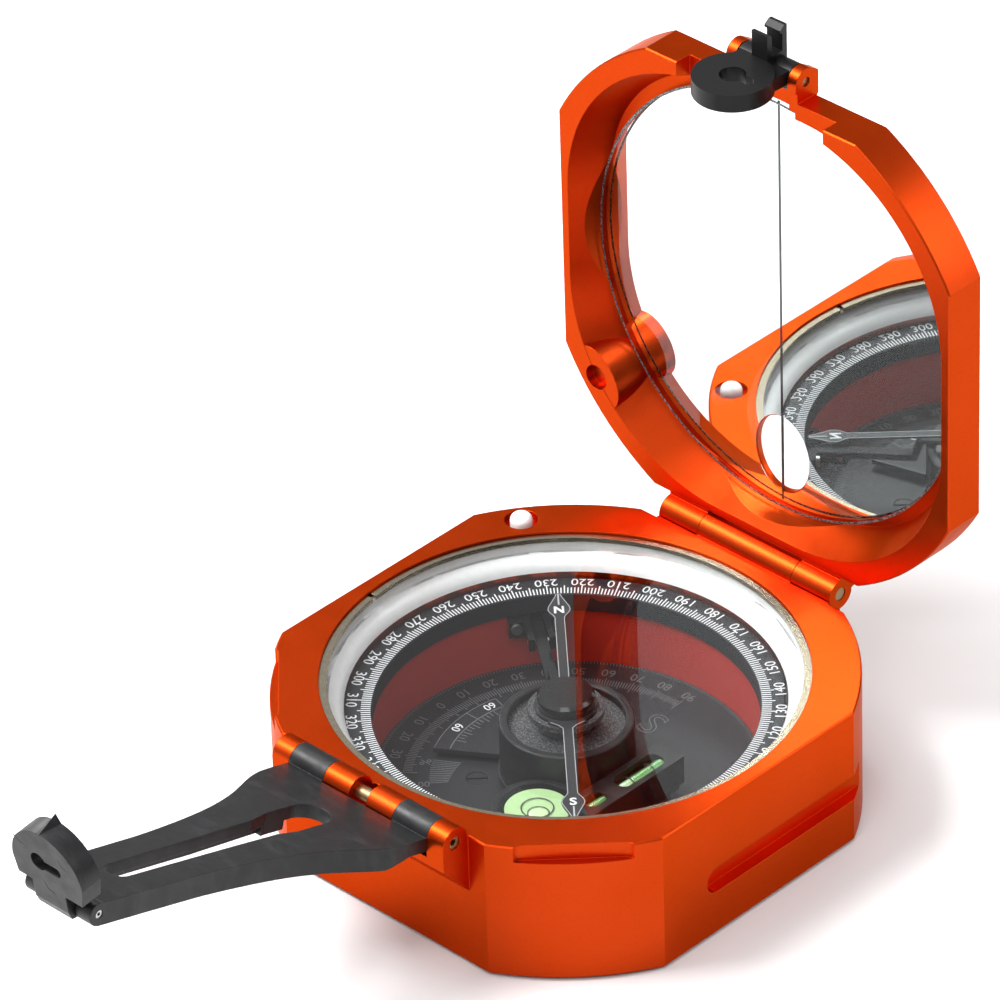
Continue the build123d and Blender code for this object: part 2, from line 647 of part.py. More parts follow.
with BuildPart() as level_block:
    with BuildSketch(Plane.XY.offset(5.7)):
        with Locations(spot(15.57, -61.6)[:2]):
            Circle(6.15)
        closed([(9.6, -10.6), (14.4, -10.6), (14.4, 7.9), (9.6, 7.9)])
    extrude(amount=4.4)
    with BuildSketch(Plane.XY.offset(6.5)):
        with Locations(spot(15.57, -61.6)[:2]):
            Circle(5.3)
    extrude(amount=5, mode=Mode.SUBTRACT)
    # bore for the tube vial, open on top
    with BuildSketch(Plane.XZ.offset(9.4)):
        with Locations((12.0, 8.0)):
            Circle(1.85)
    extrude(amount=-16.2, mode=Mode.SUBTRACT)
    with BuildSketch(Plane.XY.offset(8.0)):
        with Locations((12.0, 1.4)):
            RectangleRounded(3.0, 8.6, 1.2)
        with Locations((12.0, -7.3)):
            RectangleRounded(2.6, 3.4, 1.1)
    extrude(amount=4, mode=Mode.SUBTRACT)

with BuildPart() as round_level_vial:
    with BuildSketch(Plane.XY.offset(6.5)):
        with Locations(spot(15.57, -61.6)[:2]):
            Circle(5.25)
    extrude(amount=3.9)
    with BuildSketch(Plane.XY.offset(7.2)):
        with Locations(spot(15.57, -61.6)[:2]):
            Circle(4.5)
    extrude(amount=2.6, mode=Mode.SUBTRACT)

with BuildPart() as round_level_liquid:
    with BuildSketch(Plane.XY.offset(7.2)):
        with Locations(spot(15.57, -61.6)[:2]):
            Circle(4.48)
    extrude(amount=2.58)

with BuildPart() as tube_level_vial:
    with BuildSketch(Plane.XZ.offset(9.2)):
        with Locations((12.0, 8.0)):
            Circle(1.8)
    extrude(amount=-15.8)
    with BuildSketch(Plane.XZ.offset(8.6)):
        with Locations((12.0, 8.0)):
            Circle(1.35)
    extrude(amount=-14.6, mode=Mode.SUBTRACT)

with BuildPart() as tube_level_liquid:
    with BuildSketch(Plane.XZ.offset(8.58)):
        with Locations((12.0, 8.0)):
            Circle(1.33)
    extrude(amount=-14.56)

with BuildPart() as damping_cup:
    with BuildSketch(Plane.XZ):
        closed([(0, 5.7), (9.3, 5.7), (9.3, 13.7), (9.1, 13.9), (8.2, 13.9), (8.0, 13.7), (8.0, 6.6), (0, 6.6)])
    revolve(axis=Axis.Z)

with BuildPart() as damping_disc:
    with BuildSketch(Plane.XZ):
        closed([(0.9, 6.6), (8.0, 6.6), (8.0, 12.75), (0.9, 12.75)])
    revolve(axis=Axis.Z)

with BuildPart() as needle_pivot:
    with BuildSketch(Plane.XZ):
        closed([(0, 6.6), (0.9, 6.6), (0.9, 14.6), (0.12, 16.0), (0, 16.0)])
    revolve(axis=Axis.Z)

# ===========================================================================
# NEEDLE LIFT AND NEEDLE
# ===========================================================================
with BuildPart() as lift_pin:
    with BuildSketch(Plane.XY.offset(12.3)):
        with Locations(spot(lift_r, lever_angle)[:2]):
            Circle(1.6)
    extrude(amount=10.3)
    fillet(lift_pin.faces().sort_by(Axis.Z)[-1].edges(), 1.1)

with BuildPart() as lift_lever:
    with BuildSketch(lever_plane):
        closed([(38.0, 12.2), (38.0, 11.2), (20.0, 11.2), (10.6, 11.2), (9.7, 13.9), (9.5, 14.15), (4.8, 14.15),
                (4.8, 14.85), (9.9, 14.85), (10.6, 14.3), (11.3, 12.2)])
    extrude(amount=0.85, both=True)
    with BuildSketch(lever_plane):
        with Locations((lever_pivot_r, lever_pivot_z)):
            Circle(0.44)
    extrude(amount=2, both=True, mode=Mode.SUBTRACT)

with BuildPart() as lift_collar:
    with BuildSketch(Plane.XY.offset(15.0)):
        Circle(5.3)
        Circle(4.45, mode=Mode.SUBTRACT)
    extrude(amount=0.85)

# half of the blade's outline, from the tip: along the needle, and out from its middle line
blade_half = [(needle_half, 0.30), (25.2, 0.60), (23.9, 1.15), (22.9, 1.55), (22.2, 1.62), (21.5, 1.40),
              (20.9, 0.98), (20.4, 0.73), (5.6, 0.73), (4.9, 1.3), (4.2, 2.6)]
with BuildPart() as needle_blade:
    with BuildSketch(Plane.XY.offset(needle_z - 0.15)):
        Circle(4.35)
        for turn in (needle_angle, needle_angle + 180):
            with Locations(Location((0, 0, 0), (0, 0, turn))):
                Polygon((0, -2.6), *[(x, -y) for x, y in reversed(blade_half)], *blade_half, (0, 2.6), align=None)
        Circle(1.6, mode=Mode.SUBTRACT)
    extrude(amount=0.3)

with BuildPart() as needle_cap:
    with BuildSketch(Plane.XZ):
        closed([(0, 17.2), (1.6, 17.2), (1.6, needle_z + 0.15), (4.0, needle_z + 0.15), (4.0, 17.75), (3.6, 18.2), (0, 18.2)])
    revolve(axis=Axis.Z)

with BuildPart() as needle_magnet:
    with BuildSketch(Plane.XY.offset(13.3)):
        Circle(4.2)
        Circle(1.6, mode=Mode.SUBTRACT)
    extrude(amount=needle_z - 0.15 - 13.3)

with BuildPart() as needle_jewel:
    with BuildSketch(Plane.XZ):
        closed([(0, 16.1), (0.25, 15.9), (1.6, 15.0), (1.6, 17.2), (0, 17.2)])
    revolve(axis=Axis.Z)

# ===========================================================================
# WRITE
# ===========================================================================
pieces = {
    "case_body": case_body, "dial_plate": dial_plate, "dial_plate_screws": dial_plate_screws,
    "bevel_ring": bevel_ring, "cover_glass": cover_glass, "snap_ring": snap_ring,
    "clinometer_bush": clinometer_bush, "lever_bracket": lever_bracket, "bracket_screws": bracket_screws,
    "lever_pivot_pin": lever_pivot_pin, "arm_hinge_pin": arm_hinge_pin,
    "lid_body": lid_body, "mirror_glass": mirror_glass, "mirror_backing": mirror_backing,
    "sight_line": sight_line, "lid_hinge_pin": lid_hinge_pin, "small_sight_pin": small_sight_pin,
    "small_sight": small_sight, "sight_arm": sight_arm, "tip_pin": tip_pin, "tip_sight": tip_sight,
    "graduated_circle": graduated_circle, "circle_screw": circle_screw,
    "clinometer_lever": clinometer_lever, "clinometer_shaft": clinometer_shaft, "lever_screw": lever_screw,
    "vernier_plate": vernier_plate, "level_block": level_block, "round_level_vial": round_level_vial,
    "round_level_liquid": round_level_liquid, "tube_level_vial": tube_level_vial,
    "tube_level_liquid": tube_level_liquid, "damping_cup": damping_cup, "damping_disc": damping_disc,
    "needle_pivot": needle_pivot, "lift_pin": lift_pin, "lift_lever": lift_lever, "lift_collar": lift_collar,
    "needle_blade": needle_blade, "needle_cap": needle_cap, "needle_magnet": needle_magnet,
    "needle_jewel": needle_jewel,
}
os.makedirs("parts", exist_ok=True)
for name, piece in pieces.items():
    piece.part.label = name
    export_step(piece.part, "parts/" + name + ".step")
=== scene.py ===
import bpy
import bmesh
import json
import math
from mathutils import Matrix, Vector


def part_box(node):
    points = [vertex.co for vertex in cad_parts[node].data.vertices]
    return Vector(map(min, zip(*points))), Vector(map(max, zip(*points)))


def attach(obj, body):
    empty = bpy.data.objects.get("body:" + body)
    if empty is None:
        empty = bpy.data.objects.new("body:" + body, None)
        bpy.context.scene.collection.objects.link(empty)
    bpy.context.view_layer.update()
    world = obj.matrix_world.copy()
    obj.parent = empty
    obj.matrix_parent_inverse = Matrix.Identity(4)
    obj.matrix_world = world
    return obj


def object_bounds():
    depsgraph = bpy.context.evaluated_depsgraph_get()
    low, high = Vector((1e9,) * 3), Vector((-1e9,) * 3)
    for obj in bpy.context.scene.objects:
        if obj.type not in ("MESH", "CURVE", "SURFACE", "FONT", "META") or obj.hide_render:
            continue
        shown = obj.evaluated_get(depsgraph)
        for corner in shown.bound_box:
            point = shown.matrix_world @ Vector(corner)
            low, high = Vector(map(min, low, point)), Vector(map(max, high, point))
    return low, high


MM = 0.001
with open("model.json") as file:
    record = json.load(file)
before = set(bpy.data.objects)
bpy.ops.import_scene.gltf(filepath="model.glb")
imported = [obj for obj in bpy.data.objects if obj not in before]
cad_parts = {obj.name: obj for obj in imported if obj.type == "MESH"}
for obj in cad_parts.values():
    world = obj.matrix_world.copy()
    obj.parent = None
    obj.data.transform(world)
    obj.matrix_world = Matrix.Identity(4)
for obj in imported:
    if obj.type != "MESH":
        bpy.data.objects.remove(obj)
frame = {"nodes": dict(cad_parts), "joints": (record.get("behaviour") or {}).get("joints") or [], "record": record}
cad_box = [list(v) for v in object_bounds()]
nodes = frame["nodes"]
joint = {j["name"]: j for j in frame["joints"]}
scene = bpy.context.scene

# ---------------------------------------------------------------------------
# camera: long lens, from the front right and above. Angles in degrees, lengths in metres
# ---------------------------------------------------------------------------
CAM_AZ, CAM_EL, CAM_ROLL, CAM_DIST = 44.92, 34.40, -1.99, 1.1626
CAM_LENS, CAM_SENSOR = 288.4, 36.0
TARGET = Vector((-0.05994, 0.04876, -0.00248))
az, el, roll = (math.radians(a) for a in (CAM_AZ, CAM_EL, CAM_ROLL))
back = Vector((math.sin(az) * math.cos(el), -math.cos(az) * math.cos(el), math.sin(el)))
right = Vector((0, 0, 1)).cross(back).normalized()
up = back.cross(right)
right, up = (math.cos(roll) * right + math.sin(roll) * up,
             -math.sin(roll) * right + math.cos(roll) * up)
cam_data = bpy.data.cameras.new("camera")
cam = bpy.data.objects.new("camera", cam_data)
scene.collection.objects.link(cam)
cam_turn = Matrix((right, up, back)).transposed().to_4x4()
cam.matrix_world = Matrix.Translation(TARGET + back * CAM_DIST) @ cam_turn
cam_data.sensor_width = CAM_SENSOR
cam_data.lens = CAM_LENS
cam_data.clip_start, cam_data.clip_end = 0.05, 20.0
scene.camera = cam


# ---------------------------------------------------------------------------
# materials
# ---------------------------------------------------------------------------
def new_material(name):
    mat = bpy.data.materials.new(name)
    mat.use_nodes = True
    nt = mat.node_tree
    shader = nt.nodes["Principled BSDF"]
    return mat, nt, shader


def calc(nt, operation, a, b):
    # one maths node, whose inputs are numbers or other nodes' outputs
    n = nt.nodes.new("ShaderNodeMath")
    n.operation = operation
    for socket, value in zip(n.inputs, (a, b)):
        if isinstance(value, (int, float)):
            socket.default_value = value
        else:
            nt.links.new(value, socket)
    return n.outputs[0]


def noise(nt, scale, detail=2.0, rough=0.5, stretch=None):
    coords = nt.nodes.new("ShaderNodeTexCoord")
    source = coords.outputs["Object"]
    if stretch:
        mapping = nt.nodes.new("ShaderNodeMapping")
        mapping.inputs["Scale"].default_value = stretch
        nt.links.new(source, mapping.inputs["Vector"])
        source = mapping.outputs["Vector"]
    tex = nt.nodes.new("ShaderNodeTexNoise")
    tex.inputs["Scale"].default_value = scale
    tex.inputs["Detail"].default_value = detail
    tex.inputs["Roughness"].default_value = rough
    nt.links.new(source, tex.inputs["Vector"])
    return tex.outputs["Fac"]


def ramp(nt, value, low, high, a, b):
    n = nt.nodes.new("ShaderNodeMapRange")
    n.inputs["From Min"].default_value = low
    n.inputs["From Max"].default_value = high
    n.inputs["To Min"].default_value = a
    n.inputs["To Max"].default_value = b
    nt.links.new(value, n.inputs["Value"])
    return n.outputs["Result"]


def mix_colour(nt, fac, a, b):
    n = nt.nodes.new("ShaderNodeMix")
    n.data_type = "RGBA"
    nt.links.new(fac, n.inputs["Factor"])
    for socket, value in ((n.inputs[6], a), (n.inputs[7], b)):
        if isinstance(value, tuple):
            socket.default_value = (*value, 1)
        else:
            nt.links.new(value, socket)
    return n.outputs[2]


def bump(nt, shader, height, strength, distance, edge=0.0):
    n = nt.nodes.new("ShaderNodeBump")
    n.inputs["Strength"].default_value = strength
    n.inputs["Distance"].default_value = distance
    nt.links.new(height, n.inputs["Height"])
    if edge:
        rounder = nt.nodes.new("ShaderNodeBevel")
        rounder.samples = 4
        rounder.inputs["Radius"].default_value = edge
        nt.links.new(rounder.outputs["Normal"], n.inputs["Normal"])
    nt.links.new(n.outputs["Normal"], shader.inputs["Normal"])


# the chamber wall lies inside this radius and below this height
WALL_RADIUS = 27.3 * MM
WALL_TOP = 21.0 * MM


def anodised():
    mat, nt, sh = new_material("orange_anodised")
    broad = ramp(nt, noise(nt, 60, 3), 0.35, 0.65, 0, 1)
    colour = mix_colour(nt, broad, (0.46, 0.040, 0.004), (0.49, 0.044, 0.006))
    speck = ramp(nt, noise(nt, 5200, 1), 0.62, 0.72, 0, 0.35)
    colour = mix_colour(nt, speck, colour, (0.26, 0.017, 0.003))
    # painted light: the chamber wall gets a non-metallic copy of the orange that shows brighter than the metal
    # would, in place of light that does not reach into the chamber
    place = nt.nodes.new("ShaderNodeTexCoord").outputs["Object"]
    flat = nt.nodes.new("ShaderNodeVectorMath")
    flat.operation = "MULTIPLY"
    flat.inputs[1].default_value = (1, 1, 0)
    nt.links.new(place, flat.inputs[0])
    reach = nt.nodes.new("ShaderNodeVectorMath")
    reach.operation = "LENGTH"
    nt.links.new(flat.outputs[0], reach.inputs[0])
    height = nt.nodes.new("ShaderNodeSeparateXYZ")
    nt.links.new(place, height.inputs[0])
    near = calc(nt, "LESS_THAN", reach.outputs["Value"], WALL_RADIUS)
    low = calc(nt, "LESS_THAN", height.outputs["Z"], WALL_TOP)
    painted_lit_wall = calc(nt, "MULTIPLY", near, low)
    nt.links.new(mix_colour(nt, painted_lit_wall, colour, (0.46, 0.028, 0.018)), sh.inputs["Base Color"])
    nt.links.new(calc(nt, "SUBTRACT", 1.0, painted_lit_wall), sh.inputs["Metallic"])
    sh.inputs["Specular Tint"].default_value = (1.0, 0.60, 0.48, 1)
    rough = ramp(nt, noise(nt, 240, 3), 0.3, 0.7, 0.325, 0.365)
    nt.links.new(rough, sh.inputs["Roughness"])
    bump(nt, sh, noise(nt, 3800, 2), 0.22, 0.00004, edge=0.00016)
    return mat


def black_plastic():
    mat, nt, sh = new_material("black_plastic")
    scuff = ramp(nt, noise(nt, 190, 5, 0.65, (1, 2.5, 1)), 0.52, 0.75, 0, 1)
    colour = mix_colour(nt, scuff, (0.006, 0.0062, 0.007), (0.018, 0.0185, 0.020))
    nt.links.new(colour, sh.inputs["Base Color"])
    sh.inputs["Specular IOR Level"].default_value = 0.34
    rough = ramp(nt, noise(nt, 420, 3), 0.35, 0.7, 0.34, 0.50)
    nt.links.new(rough, sh.inputs["Roughness"])
    bump(nt, sh, noise(nt, 2600, 3), 0.18, 0.00003, edge=0.00018)
    return mat


def metal(name, colour, rough):
    mat, nt, sh = new_material(name)
    tone = ramp(nt, noise(nt, 1500), 0.3, 0.7, 0, 1)
    dark = tuple(c * 0.86 for c in colour)
    nt.links.new(mix_colour(nt, tone, dark, colour), sh.inputs["Base Color"])
    sh.inputs["Metallic"].default_value = 1.0
    sh.inputs["Roughness"].default_value = rough
    bump(nt, sh, noise(nt, 2250), 0.08, 0.00002, edge=0.00006)
    return mat


def dial_paint(name, colour, rough=0.5, spec=0.3):
    mat, nt, sh = new_material(name)
    tone = ramp(nt, noise(nt, 900, 3), 0.35, 0.65, 0, 1)
    dark = tuple(c * 0.9 for c in colour)
    nt.links.new(mix_colour(nt, tone, dark, colour), sh.inputs["Base Color"])
    sh.inputs["Roughness"].default_value = rough
    sh.inputs["Specular IOR Level"].default_value = spec
    return mat


def sparkle():
    mat, nt, sh = new_material("grey_disc")
    fine = ramp(nt, noise(nt, 5200, 2), 0.45, 0.68, 0, 1)
    colour = mix_colour(nt, fine, (0.036, 0.037, 0.039), (0.20, 0.205, 0.21))
    nt.links.new(colour, sh.inputs["Base Color"])
    sh.inputs["Metallic"].default_value = 0.5
    sh.inputs["Roughness"].default_value = 0.42
    bump(nt, sh, noise(nt, 4200, 2), 0.35, 0.00003)
    return mat


def plain(name, colour, rough, spec=0.5, coat=0.0):
    mat, nt, sh = new_material(name)
    tone = ramp(nt, noise(nt, 1200, 2), 0.3, 0.7, 0, 1)
    dark = tuple(c * 0.94 for c in colour)
    nt.links.new(mix_colour(nt, tone, dark, colour), sh.inputs["Base Color"])
    sh.inputs["Roughness"].default_value = rough
    sh.inputs["Specular IOR Level"].default_value = spec
    sh.inputs["Coat Weight"].default_value = coat
    sh.inputs["Coat Roughness"].default_value = 0.05
    return mat


def face_normal(nt, *shaders):
    # flat panes take each face's own normal, not the blended one
    own = nt.nodes.new("ShaderNodeNewGeometry").outputs["True Normal"]
    for shader in shaders:
        nt.links.new(own, shader.inputs["Normal"])


def mirror():
    mat, nt, sh = new_material("mirror_silver")
    sh.inputs["Base Color"].default_value = (0.95, 0.955, 0.955, 1)
    sh.inputs["Metallic"].default_value = 1.0
    sh.inputs["Roughness"].default_value = 0.006
    face_normal(nt, sh)
    return mat


def clear(name, ior, tint, strength):
    # light passes straight through, and the surface reflects by its angle
    mat, nt, sh = new_material(name)
    nt.nodes.remove(sh)
    out = nt.nodes["Material Output"]
    through = nt.nodes.new("ShaderNodeBsdfTransparent")
    through.inputs["Color"].default_value = (*tint, 1)
    gloss = nt.nodes.new("ShaderNodeBsdfGlossy")
    gloss.inputs["Roughness"].default_value = 0.003
    fresnel = nt.nodes.new("ShaderNodeFresnel")
    fresnel.inputs["IOR"].default_value = ior
    face_normal(nt, gloss, fresnel)
    behind = nt.nodes.new("ShaderNodeNewGeometry").outputs["Backfacing"]
    facing = calc(nt, "MULTIPLY", fresnel.outputs[0], calc(nt, "SUBTRACT", 1.0, behind))
    share = calc(nt, "MULTIPLY", facing, strength)
    mix = nt.nodes.new("ShaderNodeMixShader")
    nt.links.new(share, mix.inputs[0])
    nt.links.new(through.outputs[0], mix.inputs[1])
    nt.links.new(gloss.outputs[0], mix.inputs[2])
    nt.links.new(mix.outputs[0], out.inputs["Surface"])
    return mat


M = {
    "orange_anodised": anodised(),
    "black_plastic": black_plastic(),
    "dial_black": dial_paint("dial_black", (0.017, 0.017, 0.020)),
    "silver_ring": plain("silver_ring", (0.82, 0.82, 0.815), 0.26, coat=0.3),
    "champagne": metal("champagne", (0.36, 0.315, 0.235), 0.24),
    "steel": metal("steel", (0.50, 0.50, 0.50), 0.35),
    "brass": metal("brass", (0.34, 0.24, 0.13), 0.45),
    "clear_glass": clear("clear_glass", 1.45, (0.97, 0.98, 0.98), 1.3),
    "mirror_silver": mirror(),
    "black_line": plain("black_line", (0.006, 0.006, 0.006), 0.5),
    "white_plastic": plain("white_plastic", (0.86, 0.86, 0.86), 0.35, coat=0.3),
    "grey_disc": sparkle(),
    "needle_grey": dial_paint("needle_grey", (0.020, 0.021, 0.024), 0.35),
    "sight_black": dial_paint("sight_black", (0.0045, 0.0045, 0.005), 0.38, 0.22),
    "black_enamel": dial_paint("black_enamel", (0.006, 0.006, 0.007), 0.16, 0.5),
    "liquid_pale": plain("liquid_pale", (0.50, 0.70, 0.34), 0.25, coat=0.6),
    "liquid_green": plain("liquid_green", (0.16, 0.44, 0.10), 0.15, coat=1.0),
}
white_ink = plain("white_ink", (0.74, 0.75, 0.76), 0.6)
grey_ink = plain("grey_ink", (0.115, 0.117, 0.122), 0.6)
line_ink = plain("line_ink", (0.34, 0.345, 0.35), 0.6)
dark_ink_and_shade = plain("dark_ink_and_shade", (0.02, 0.02, 0.02), 0.5)
slot_of = {s["node"]: s["material_slot"] for s in frame["record"]["subparts"]}
# nodes whose look is another than their slot's
slot_of.update(
    lift_collar="grey_disc",
    lid_hinge_pin="brass",
    small_sight_pin="brass",
    dial_plate_screws="dial_black",
    small_sight="sight_black",
)
for name, ob in nodes.items():
    ob.data.materials.clear()
    ob.data.materials.append(M[slot_of[name]])


# ---------------------------------------------------------------------------
# flat marks: bars, rings and letters that lie on a face
# ---------------------------------------------------------------------------
class Marks:
    """Collects flat shapes in one plane and makes one thin piece of them."""

    def __init__(self, place=Matrix.Identity(4), thick=0.012 * MM):
        self.place, self.thick = place, thick
        self.bm = bmesh.new()

    def face(self, points):
        verts = [self.bm.verts.new(self.place @ Vector((x * MM, y * MM, 0))) for x, y in points]
        self.bm.faces.new(verts)

    def bar(self, r0, r1, angle, width):
        a = math.radians(angle)
        u, v = Vector((math.cos(a), math.sin(a))), Vector((-math.sin(a), math.cos(a)))
        w = width / 2
        self.face([u * r0 - v * w, u * r1 - v * w, u * r1 + v * w, u * r0 + v * w])

    def line(self, a, b, width):
        a, b = Vector(a), Vector(b)
        d = (b - a).normalized()
        n = Vector((-d.y, d.x)) * width / 2
        self.face([a - n, b - n, b + n, a + n])

    def path(self, points, width, loop=False):
        # a ribbon of even width along a polyline, mitred at its corners
        pts = [Vector(p) for p in points]
        n = len(pts)
        sides = []
        for i, p in enumerate(pts):
            before = pts[i - 1] if (i or loop) else None
            after = pts[(i + 1) % n] if (i < n - 1 or loop) else None
            d0 = (p - before).normalized() if before is not None else (after - p).normalized()
            d1 = (after - p).normalized() if after is not None else d0
            n0, n1 = Vector((-d0.y, d0.x)), Vector((-d1.y, d1.x))
            m = (n0 + n1).normalized()
            m = m * (width / 2) / max(0.35, m.dot(n0))
            sides.append((p - m, p + m))
        last = n if loop else n - 1
        for i in range(last):
            a, b = sides[i], sides[(i + 1) % n]
            self.face([a[0], b[0], b[1], a[1]])

    def arc(self, centre, r, a0, a1, width, steps=48):
        pts = []
        for i in range(steps + 1):
            a = math.radians(a0 + (a1 - a0) * i / steps)
            pts.append((centre[0] + r * math.cos(a), centre[1] + r * math.sin(a)))
        self.path(pts, width)

    def text(self, words, size, x, y, turn, wide=1.0, outline=0.0, bold=0.0):
        curve = bpy.data.curves.new("letters", "FONT")
        curve.body = words
        curve.size = size
        curve.align_x, curve.align_y = "CENTER", "CENTER"
        curve.resolution_u = 4
        curve.offset = bold
        if outline:
            curve.fill_mode = "NONE"
            curve.bevel_depth = outline
            curve.bevel_resolution = 1
        holder = bpy.data.objects.new("letters", curve)
        scene.collection.objects.link(holder)
        bpy.context.view_layer.update()
        graph = bpy.context.evaluated_depsgraph_get()
        mesh = bpy.data.meshes.new_from_object(holder.evaluated_get(graph))
        stretch = Matrix.Diagonal((wide, 1, 0.05 if outline else 1, 1))
        spin = Matrix.Rotation(math.radians(turn), 4, "Z") @ stretch
        put = Matrix.Translation((x * MM, y * MM, 0)) @ Matrix.Scale(MM, 4)
        mesh.transform(self.place @ put @ spin)
        self.bm.from_mesh(mesh)
        bpy.data.objects.remove(holder)
        bpy.data.curves.remove(curve)
        bpy.data.meshes.remove(mesh)

    def make(self, name, body, material):
        mesh = bpy.data.meshes.new(name)
        bmesh.ops.remove_doubles(self.bm, verts=self.bm.verts, dist=1e-8)
        bmesh.ops.recalc_face_normals(self.bm, faces=self.bm.faces)
        self.bm.to_mesh(mesh)
        self.bm.free()
        mesh.materials.append(material)
        ob = bpy.data.objects.new(name, mesh)
        scene.collection.objects.link(ob)
        solid = ob.modifiers.new("thickness", "SOLIDIFY")
        solid.thickness = self.thick
        solid.offset = 1.0
        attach(ob, body)
        return ob


def level(node_name, lift=0.012):
    # horizontal plane just above a node's top
    return Matrix.Translation((0, 0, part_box(node_name)[1].z + lift * MM))


def polar(r, angle):
    return r * math.cos(math.radians(angle)), r * math.sin(math.radians(angle))


# graduated circle: 360 ticks, and figures with their tops to the centre
ZERO = -91.1  # degrees from +X to the circle's 0
marks = Marks(level("graduated_circle"))
for d in range(360):
    r1 = 28.45 if d % 5 == 0 else 27.95
    marks.bar(26.62, r1, d + ZERO, 0.17)
for n in range(0, 360, 10):
    a = n + ZERO
    marks.text(str(n), 2.2, *polar(29.34, a), a + 90)
marks.make("circle_figures", "graduated_circle", white_ink)

# clinometer scale on the dial plate, the outlined letter, the slope scale and the fine edge
marks = Marks(level("dial_plate"))
for d in range(-40, 91):
    a = 180 - d
    r0 = 21.6 if d % 10 == 0 else (21.9 if d % 5 == 0 else 22.3)
    marks.bar(r0 - 0.9, 23.1 if d % 10 == 0 else 22.7, a, 0.14)
for d in (-30, -20, -10, 0, 10, 20, 30, 40, 50, 60, 70, 80, 90):
    a = 180 - d
    marks.text(str(abs(d)), 2.2, *polar(24.4, a), a + 90, wide=0.95)
for d in range(360):
    marks.bar(26.2, 26.7, d + 0.5, 0.12)
marks.text("S", 6.6, 0.5, 16.15, 0, outline=0.07)
for k in range(13):
    a = 211 + k * 1.35
    marks.bar(15.0 + 0.12 * k, 19.0, a, 0.13)
marks.text("%", 2.2, *polar(19.8, 213), 213 - 90)
marks.text("100", 1.7, *polar(20.2, 228), 228 - 180)
marks.make("plate_figures", "case", grey_ink)

# vernier: a printed arc, its ticks inside, its figures outside
marks = Marks(level("vernier_plate"))
for k in range(13):
    a = 171.5 + k * 2.4
    marks.bar(15.2 if k % 3 == 0 else 15.7, 16.6, a, 0.13)
marks.arc((0, 0), 16.8, 166.5, 207.5, 0.17)
marks.bar(16.8, 18.9, 181.0, 0.14)
marks.line(polar(9.6, 165.6), polar(19.0, 165.4), 0.12)
marks.arc((0, 0), 18.95, 165.5, 208.5, 0.12)
marks.make("vernier_figures", "clinometer", grey_ink)
marks = Marks(level("vernier_plate"))
for a in (170.5, 191.5):
    marks.text("60", 1.9, *polar(17.95, a), a + 90, wide=0.95, bold=0.012)
marks.make("vernier_letters", "clinometer", white_ink)

# needle: white edge line, letters and the two index lines
NEEDLE_AT = 135.9  # degrees from +X to the needle's north end
turn = Matrix.Rotation(math.radians(NEEDLE_AT), 4, "Z")
inner = [(26.0, 0.24), (25.1, 0.53), (23.8, 1.07), (22.85, 1.46), (22.2, 1.53), (21.56, 1.32),
         (20.95, 0.90), (20.4, 0.65), (5.65, 0.65), (4.95, 1.2), (4.2, 2.3)]
marks = Marks(level("needle_blade", 0.0) @ turn)
for s in (1, -1):
    for side in (1, -1):
        marks.path([(s * x, side * y) for x, y in inner], 0.10)
    marks.line((s * 23.4, 0), (s * 26.0, 0), 0.24)
marks.make("needle_marks", "needle", line_ink)
marks = Marks(level("needle_blade", 0.0) @ turn)
marks.text("N", 2.2, 22.1, 0, -90, wide=0.92, bold=0.08)
marks.text("S", 2.2, -22.4, 0, -90, bold=0.06)
marks.make("needle_letters", "needle", white_ink)

# ---------------------------------------------------------------------------
# levels: marks and bubbles
# ---------------------------------------------------------------------------
def centre(node_name):
    lo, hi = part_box(node_name)
    return (lo + hi) / 2


def bubble(name, at, size, body):
    bm = bmesh.new()
    bmesh.ops.create_uvsphere(bm, u_segments=32, v_segments=16, radius=1.0)
    for v in bm.verts:
        v.co = Vector((v.co.x * size[0], v.co.y * size[1], v.co.z * size[2])) + at
    mesh = bpy.data.meshes.new(name)
    bm.to_mesh(mesh)
    bm.free()
    for f in mesh.polygons:
        f.use_smooth = True
    mesh.materials.append(bubble_look)
    ob = bpy.data.objects.new(name, mesh)
    scene.collection.objects.link(ob)
    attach(ob, body)
    return ob


bubble_look = plain("bubble_look", (0.58, 0.78, 0.42), 0.08, coat=1.0)
c = centre("round_level_liquid")
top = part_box("round_level_liquid")[1].z
BUBBLE_X, BUBBLE_Y = 0.9, -0.75  # where the round bubble has moved to
bubble("round_level_bubble", Vector((c.x + BUBBLE_X * MM, c.y + BUBBLE_Y * MM, top - 0.02 * MM)),
       (1.40 * MM, 1.40 * MM, 0.12 * MM), "clinometer")
marks = Marks(Matrix.Translation((c.x, c.y, top + 0.14 * MM)))
marks.arc((0, 0), 2.20, 0, 360, 0.17, 64)
# painted shade: this second ring, round the bubble, is the bubble's dark rim drawn in ink; the ring above is the
# level's printed circle
marks.arc((BUBBLE_X, BUBBLE_Y), 1.45, 0, 360, 0.14, 64)
marks.make("round_level_ring_and_bubble_rim_shade", "clinometer", dark_ink_and_shade)
c = centre("tube_level_liquid")
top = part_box("tube_level_liquid")[1].z
bubble("tube_level_bubble", Vector((c.x, c.y, top - 0.25 * MM)),
       (0.62 * MM, 2.6 * MM, 0.32 * MM), "clinometer")

